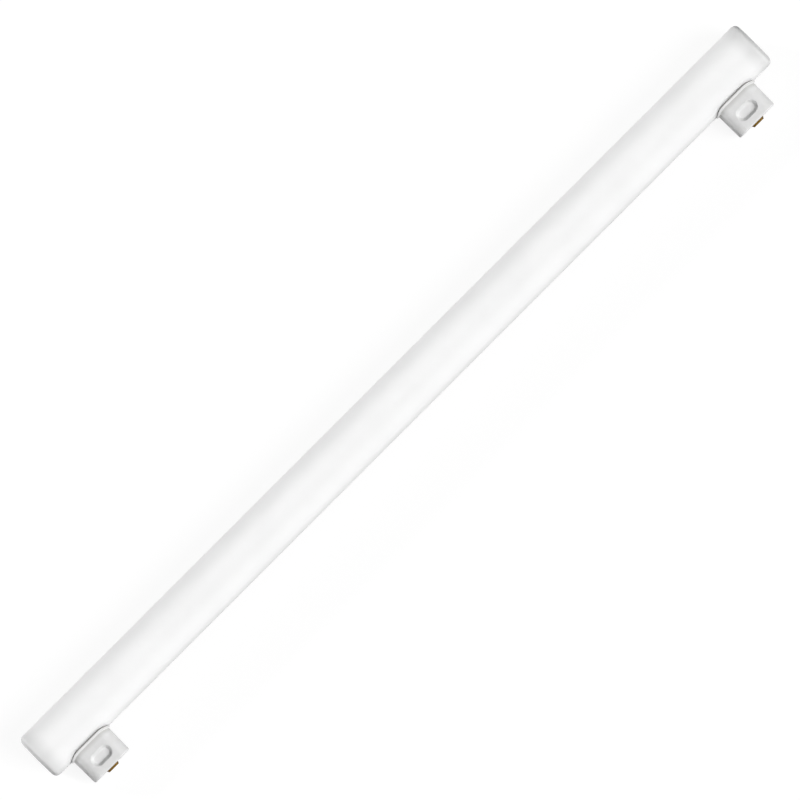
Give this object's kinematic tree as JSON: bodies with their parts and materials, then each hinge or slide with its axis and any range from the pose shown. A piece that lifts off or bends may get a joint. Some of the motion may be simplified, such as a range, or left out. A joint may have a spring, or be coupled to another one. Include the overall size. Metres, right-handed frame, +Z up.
{
  "type": "tubular light bulb",
  "caption": "Straight opal glass tube lamp with a side cap near each end, each with a brass end contact and side recesses for the holder's spring, lying at rest.",
  "frame": {"origin": "on the floor, below the centre of the lying lamp's box", "axes": "+X along the tube, towards the end with the longer overhang; +Z up; the caps point towards -Y and a little down"},
  "size_m": [0.5, 0.0426, 0.0265],
  "materials": {
    "opal_glass": "opal white glass, glossy outside, not see-through",
    "cap_plastic": "satin moulded, pale grey",
    "cement": "matt, fine-grained, dark grey",
    "contact_brass": "satin, darkened",
    "tinned_wire": "drawn wire, tinned",
    "solder": "soft solder, bright but a little uneven"
  },
  "bodies": {
    "root": {"opal_tube": "opal_glass", "cap_housing_left": "cap_plastic", "cap_housing_right": "cap_plastic", "cement_bed_left": "cement", "cement_bed_right": "cement", "contact_left": "contact_brass", "contact_right": "contact_brass", "lead_wire_left": "tinned_wire", "lead_wire_right": "tinned_wire", "solder_bead_left": "solder", "solder_bead_right": "solder"}
  },
  "joints": []
}
